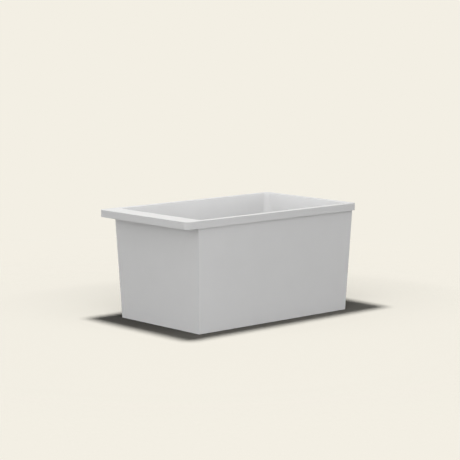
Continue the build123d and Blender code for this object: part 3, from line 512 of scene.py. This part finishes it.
# %% Where each screw stands
SCREW_SPACING_MM = 15
HEAD_EDGE = 0.98      # points past this part of the reach lie on the head's edge
SAME_LEVEL_MM = 0.1


def screw_groups(node, spacing):
    """Points of each screw: those within a spacing, in plan, of the first point that no screw has yet."""
    mesh = nodes[node].data
    points = np.empty(3 * len(mesh.vertices))
    mesh.vertices.foreach_get("co", points)
    points = points.reshape(-1, 3)
    while len(points):
        near = np.hypot(*(points[:, :2] - points[0, :2]).T) < spacing
        yield points[near]
        points = points[~near]


def screw_sizes(points):
    """Plan centre, head and shank radius, and the heights of tip, shoulder and head of one screw."""
    centre = (points[:, :2].min(axis=0) + points[:, :2].max(axis=0)) / 2
    reach = np.hypot(*(points[:, :2] - centre).T)
    head = points[reach > HEAD_EDGE * reach.max(), 2]
    bottom, top = points[:, 2].min(), points[:, 2].max()
    if head.max() > top - SAME_LEVEL_MM * MM:
        tip, shoulder, face = bottom, head.min(), top
    else:
        tip, shoulder, face = top, head.max(), bottom
    shank = reach[np.abs(points[:, 2] - tip) < SAME_LEVEL_MM * MM].max()
    return centre, reach.max(), shank, tip, shoulder, face


screws = {}
for node in ("board_screws", "strap_screws"):
    screws[node] = [screw_sizes(group) for group in screw_groups(node, SCREW_SPACING_MM * MM)]
    print(node, len(screws[node]), "screws, head", round(2 * screws[node][0][1] / MM, 1), "mm across")

# %% Screws with a cross recess
HEAD_COLUMNS = 64
DOME_ROWS, BRIM_ROWS = 14, 6
RECESS_REACH = 0.62   # these are parts of the head's radius
RECESS_WIDTH = 0.17
RECESS_SLOPE = 0.07
RECESS_DEPTH = 0.6    # and these of its height
DOME_FALL = 0.4


def cross_head_screw(centre, head, shank, tip, shoulder, face):
    """Height = dome falling with the fourth power of the radius, less the recess: full depth inside both bars of
    a cross, none outside, and a short slope between. Below the head come its side, its underside and the shank."""
    angle = np.linspace(0, 2 * pi, HEAD_COLUMNS, endpoint=False)
    inner, brim = np.linspace(0, RECESS_REACH, DOME_ROWS), np.linspace(RECESS_REACH, 1, BRIM_ROWS)
    out = np.concatenate([inner, brim[1:]])[:, None]
    along, across = np.abs(out * np.cos(angle)), np.abs(out * np.sin(angle))
    bar = np.clip((RECESS_WIDTH - np.minimum(along, across)) / RECESS_SLOPE, 0, 1)
    end = np.clip((RECESS_REACH - np.maximum(along, across)) / RECESS_SLOPE, 0, 1)
    dome = 1 - DOME_FALL * out ** 4 - RECESS_DEPTH * bar * end
    side = np.array([[1.0], [shank / head], [shank / head], [0.0]])
    radius = head * np.concatenate([out, side]) + 0 * angle
    z = np.concatenate([shoulder + (face - shoulder) * dome,
                        np.array([[shoulder], [shoulder], [tip], [tip]]) + 0 * angle])
    return np.stack([centre[0] + radius * np.cos(angle), centre[1] + radius * np.sin(angle), z], axis=-1)


for node in screws:
    piece = stand_for(node, [cross_head_screw(*sizes) for sizes in screws[node]], crease=40)
    print(node, len(piece.data.polygons), "faces")

# %% [markdown]
# The overflow hose is pushed over a spigot behind the wall, runs down the wall's back and turns to the waste.
# Such hose is ribbed, so that it can bend without kinking, and has plain cuffs where the clamps hold it. The
# route is one smooth spline, drawn towards the corner, with a point on each run to say where the bend starts.
# The ribs are a radius that swells and narrows along that line, and the smooth bore closes the tube from within.

# %% Route of the overflow hose
BEND_REACH_MM = 91
HOSE_STEP_MM = 0.5
SPLINE_STEPS = 64


def spline_points(name, route):
    """Points of a smooth spline of order 3 that has the route as its control points, every half millimetre."""
    curve = bpy.data.curves.new(name, "CURVE")
    curve.dimensions = "3D"
    curve.resolution_u = SPLINE_STEPS
    line = curve.splines.new("NURBS")
    line.points.add(len(route) - 1)
    line.points.foreach_set("co", np.c_[route, np.ones(len(route))].ravel())
    line.order_u = 3
    line.use_endpoint_u = True
    holder = bpy.data.objects.new(name, curve)
    mesh = bpy.data.meshes.new_from_object(holder)
    points = np.empty(3 * len(mesh.vertices))
    mesh.vertices.foreach_get("co", points)
    points = points.reshape(-1, 3)
    for store, item in ((bpy.data.meshes, mesh), (bpy.data.objects, holder), (bpy.data.curves, curve)):
        store.remove(item)
    far = np.concatenate([[0], np.cumsum(np.linalg.norm(np.diff(points, axis=0), axis=1))])
    even = np.linspace(0, far[-1], int(far[-1] / (HOSE_STEP_MM * MM)))
    return even, np.stack([np.interp(even, far, points[:, i]) for i in range(3)], axis=-1)


low, high = box("overflow_hose")
outer = (high[1] - low[1]) / 2
lean = next(joint["axis"] for joint in frame["joints"] if joint["name"] == "knob_turn")
start = np.array([low[0] + outer * lean[0], 0, high[2] - outer * lean[2]])
level = low[2] + outer
corner = np.array([start[0] + (start[2] - level) * lean[2] / lean[0], 0, level])
down = (corner - start) / np.linalg.norm(corner - start)
route = np.array([start, corner - BEND_REACH_MM * MM * down, corner, corner + [BEND_REACH_MM * MM, 0, 0],
                  [high[0], 0, level]])
far, line = spline_points("hose_route", route)
print("hose", round(far[-1] / MM), "mm long,", len(line), "points on its line")

# %% Ribbed overflow hose
RIB_PITCH_MM = 4.0
RIB_MM = 1.2
CUFF_MM = 18
BORE_MM = 9.5


def ribbed_hose(far, line, outer):
    """Ring round each point of a line in the XZ plane. Radius = outer less half the rib depth times one less a
    cosine of the distance, and plain in the cuffs. The bore follows the same line back to the start."""
    into = np.gradient(line, axis=0)
    into /= np.linalg.norm(into, axis=1, keepdims=True)
    across = np.array([0.0, 1.0, 0.0])
    up = np.cross(across, into)
    angle = np.linspace(0, 2 * pi, COLUMNS, endpoint=False)
    from_end = np.minimum(far, far[-1] - far)
    ribbed = np.clip((from_end - CUFF_MM * MM) / (RIB_PITCH_MM * MM), 0, 1)
    wave = (1 - np.cos(2 * pi * far / (RIB_PITCH_MM * MM))) / 2
    skin = outer - RIB_MM * MM * ribbed * wave
    radius = np.concatenate([skin, np.full(len(far), BORE_MM * MM), skin[:1]])
    order = np.concatenate([np.arange(len(far)), np.arange(len(far))[::-1], [0]])
    ring = np.cos(angle)[:, None] * across + np.sin(angle)[:, None] * up[order][:, None, :]
    return line[order][:, None, :] + radius[:, None, None] * ring


piece = stand_for("overflow_hose", [ribbed_hose(far, line, outer)], crease=60)
print("hose", len(piece.data.polygons), "faces, ribs", RIB_PITCH_MM, "mm apart")

# %% [markdown]
# The picture's floor is one even cream up to the horizon, and only the tub's shadow lies on it. A real floor
# under a lamp gets darker with distance. So the board is made paler by just as much as the lamp weakens, and
# further out it fades into a plain cream that needs no lamp. Its shade near the tub is kept dark and its lamp
# strong, which leaves the shadow deep. Rays that left the tub as diffuse light see it much darker, so that
# this strong lamp throws no glare up on the panels.

# %% Floor
FLOOR_SIZE = 80.0
CREAM = "#f3efe4"
BOUNCE = 0.04        # how much of the cream the tub's sides see

mesh = bpy.data.meshes.new("studio_floor")
side = FLOOR_SIZE / 2
mesh.from_pydata([(-side, -side, 0), (side, -side, 0), (side, side, 0), (-side, side, 0)], [], [(0, 1, 2, 3)])
floor = bpy.data.objects.new("studio_floor", mesh)
scene.collection.objects.link(floor)

material, tree, surface, place = new_finish("studio_floor_board")
cream = linear(CREAM)
dim = (*[sum(cream[:3]) / 3 * BOUNCE] * 3, 1.0)
seen = add(tree, "ShaderNodeMix", {"Factor": add(tree, "ShaderNodeLightPath").outputs["Is Diffuse Ray"],
                                   SHADE_A: cream, SHADE_B: dim}, data_type="RGBA").outputs[SHADE_OUT]
print("floor", FLOOR_SIZE, "m wide, cream", CREAM)

# %% Even light on the floor
FLOOR_LAMP_AT = (-0.37, -0.015, 3.55)
FLOOR_SHARE = 0.03   # how much of the light the board sends back under the lamp
WIDE_PART = 0.08     # how much of the floor's light is the wide sky light, which lifts the shadow a little
FLOOR_SKY = 0.65     # level of the dome's light on open floor

foot = (FLOOR_LAMP_AT[0], FLOOR_LAMP_AT[1], 0.0)
away = add(tree, "ShaderNodeVectorMath", {0: place, 1: foot}, operation="SUBTRACT").outputs["Vector"]
square = add(tree, "ShaderNodeVectorMath", {0: away, 1: away}, operation="DOT_PRODUCT").outputs["Value"]
slant = add(tree, "ShaderNodeMath", {0: square, 1: 1 / FLOOR_LAMP_AT[2] ** 2, 2: 1.0}, operation="MULTIPLY_ADD")
loss = add(tree, "ShaderNodeMath", {0: slant.outputs[0], 1: 2.0}, operation="POWER")
wide_level = WIDE_PART / FLOOR_SHARE
even_level = wide_level + FLOOR_SKY
lamp_level = 1 / FLOOR_SHARE - even_level
direct = add(tree, "ShaderNodeMath", {0: lamp_level, 1: loss.outputs[0]}, operation="DIVIDE")
light = add(tree, "ShaderNodeMath", {0: direct.outputs[0], 1: even_level}, operation="ADD")
share = add(tree, "ShaderNodeMath", {0: 1.0, 1: light.outputs[0]}, operation="DIVIDE")
print("floor lamp level", round(lamp_level, 2), "board share", FLOOR_SHARE)

# %% [markdown]
# Beside and behind the tub the picture has a broad soft halo besides, where the tub hides part of the bright
# side of the room, which is low down at the front left. A lamp for that would undo the even cream. So the halo
# is painted shade: an occlusion node, turned to face that side, finds how much of it is hidden from each point
# of the floor, and the board's colour is painted that much darker there.

# %% Painted shade of the soft halo on the floor
HALO_TOWARDS = (-0.74, -0.60, 0.30)
HALO_REACH = 1.0     # metres within which the tub hides the bright side
HALO_POWER = 0.42    # below 1, the halo is fainter than the share that is hidden
HALO_RAYS = 6

towards = add(tree, "ShaderNodeCombineXYZ", dict(enumerate(HALO_TOWARDS))).outputs["Vector"]
seen_sky = add(tree, "ShaderNodeAmbientOcclusion", {"Distance": HALO_REACH, "Normal": towards}, samples=HALO_RAYS)
halo = add(tree, "ShaderNodeMath", {0: seen_sky.outputs["AO"], 1: HALO_POWER}, operation="POWER")
# painted shade: the halo darkens the board's colour, on top of the share that evens out the lamp
shade = add(tree, "ShaderNodeMath", {0: share.outputs[0], 1: halo.outputs[0]}, operation="MULTIPLY")
board = add(tree, "ShaderNodeVectorMath", {0: seen, "Scale": shade.outputs[0]}, operation="SCALE")
tree.links.new(board.outputs["Vector"], surface.inputs["Base Color"])
surface.inputs["Roughness"].default_value = 1.0
surface.inputs["Specular IOR Level"].default_value = 0.0
print("halo within", HALO_REACH, "m of the tub")

# %% Floor far away
FADE_FROM, FADE_TO = 1.6, 3.2
reach = add(tree, "ShaderNodeMath", {0: square}, operation="SQRT")
fade = add(tree, "ShaderNodeMapRange",
           {"Value": reach.outputs[0], "From Min": FADE_FROM, "From Max": FADE_TO},
           interpolation_type="SMOOTHSTEP")
plain = add(tree, "ShaderNodeEmission", {"Color": seen})
both = add(tree, "ShaderNodeMixShader",
           {0: fade.outputs["Result"], 1: surface.outputs["BSDF"], 2: plain.outputs[0]})
add(tree, "ShaderNodeOutputMaterial", {"Surface": both.outputs[0]}).is_active_output = True
material.cycles.emission_sampling = "NONE"
mesh.materials.append(material)
print("floor fades to plain cream from", FADE_FROM, "to", FADE_TO, "m")

# %% [markdown]
# The photograph's light is soft and grey, and a little of it comes from low down on all sides, because upright
# faces are nearly as bright as the deck. So the world is a dome that is brighter at the horizon than overhead.
# What the camera, mirrors and glass see instead is the picture's cream at its full strength.

# %% World
DOME_HORIZON, DOME_ABOVE = 2.15, 0.50
DOME_RISE = 0.5      # how high a direction points, from 0 to 1, where the dome has its upper level
world = bpy.data.worlds.new("studio")
world.use_nodes = True
scene.world = world
tree = world.node_tree
tree.nodes.clear()
path = add(tree, "ShaderNodeLightPath")
shown = add(tree, "ShaderNodeMath", {0: path.outputs["Is Camera Ray"], 1: path.outputs["Is Glossy Ray"]},
            operation="MAXIMUM")
shown = add(tree, "ShaderNodeMath", {0: shown.outputs[0], 1: path.outputs["Is Transmission Ray"]},
            operation="MAXIMUM")
way = add(tree, "ShaderNodeTexCoord").outputs["Generated"]
height = add(tree, "ShaderNodeSeparateXYZ", {0: way}).outputs["Z"]
level = add(tree, "ShaderNodeMapRange", {"Value": height, "From Max": DOME_RISE, "To Min": DOME_HORIZON,
                                         "To Max": DOME_ABOVE})
soft = add(tree, "ShaderNodeBackground", {"Strength": level.outputs["Result"], "Color": (1, 1, 1, 1)})
backdrop = add(tree, "ShaderNodeBackground", {"Color": cream})
mixed = add(tree, "ShaderNodeMixShader", {0: shown.outputs[0], 1: soft.outputs[0], 2: backdrop.outputs[0]})
add(tree, "ShaderNodeOutputWorld", {"Surface": mixed.outputs[0]})
print("dome", DOME_HORIZON, "at the horizon,", DOME_ABOVE, "above")

# %% [markdown]
# Three round lamps and one wide patch of sky do the rest. One lamp lights only the floor, and its place and
# width were read from the shadow: how far it reaches past each side, and how soft its edge is. The patch of
# sky lights only the floor too, from the front, and keeps the shadow from going black. One lamp hangs over the
# tub and makes the deck the brightest part. A low one at the front left corner lifts the two sides that the
# camera sees, and leaves the basin alone. Light linking keeps each lamp to its own receivers.

# %% Lamp sizes and strengths
FLOOR_LAMP_SIZE = 0.56
FLOOR_LAMP_W = lamp_level * pi ** 2 * FLOOR_LAMP_AT[2] ** 2
WIDE_FROM, WIDE_ANGLE = (-1.3, -3.0, 3.0), 74
WIDE_STRENGTH = pi * wide_level * np.linalg.norm(WIDE_FROM) / WIDE_FROM[2]
TOP_LAMP_AT, TOP_LAMP_SIZE, TOP_LAMP_W = (-0.42, 0.0, 4.0), 0.7, 50.0
LOW_LAMP_AT, LOW_LAMP_SIZE, LOW_LAMP_W = (-2.05, -2.15, 0.30), 0.8, 8.5
print("floor lamp", round(FLOOR_LAMP_W), "W, wide sky", round(WIDE_STRENGTH, 2), "W on a square metre")

# %% Lamps


def lamp(name, at, towards, size, strength, receivers):
    """Round area lamp at a place, turned to face another, for the receivers of one collection. With no size it
    is a part of the sky instead, as far off as the sun and many times as wide."""
    light = bpy.data.lights.new(name, "AREA" if size else "SUN")
    if size:
        light.shape = "DISK"
        light.size = size
    else:
        light.angle = radians(WIDE_ANGLE)
    light.energy = strength
    holder = bpy.data.objects.new(name, light)
    holder.location = at
    holder.rotation_euler = Vector(np.subtract(towards, at)).to_track_quat("-Z", "Y").to_euler()
    holder.visible_camera = False
    holder.visible_glossy = False
    holder.light_linking.receiver_collection = receivers
    scene.collection.objects.link(holder)
    print(name, "at", at, "strength", round(strength, 1))


floor_only = bpy.data.collections.new("floor_only")
floor_only.objects.link(floor)
not_floor = bpy.data.collections.new("all_but_floor")
not_floor.objects.link(floor)
not_floor.collection_objects[0].light_linking.link_state = "EXCLUDE"
lamp("floor_lamp", FLOOR_LAMP_AT, foot, FLOOR_LAMP_SIZE, FLOOR_LAMP_W, floor_only)
lamp("wide_floor_light", WIDE_FROM, (0, 0, 0), None, WIDE_STRENGTH, floor_only)
lamp("top_lamp", TOP_LAMP_AT, (TOP_LAMP_AT[0], TOP_LAMP_AT[1], 0), TOP_LAMP_SIZE, TOP_LAMP_W, not_floor)
lamp("low_lamp", LOW_LAMP_AT, (0, 0, LOW_LAMP_AT[2]), LOW_LAMP_SIZE, LOW_LAMP_W, not_floor)

# %% [markdown]
# Last comes the plain view transform, under which a colour renders as it is written.

# %% View transform
scene.view_settings.view_transform = "Standard"
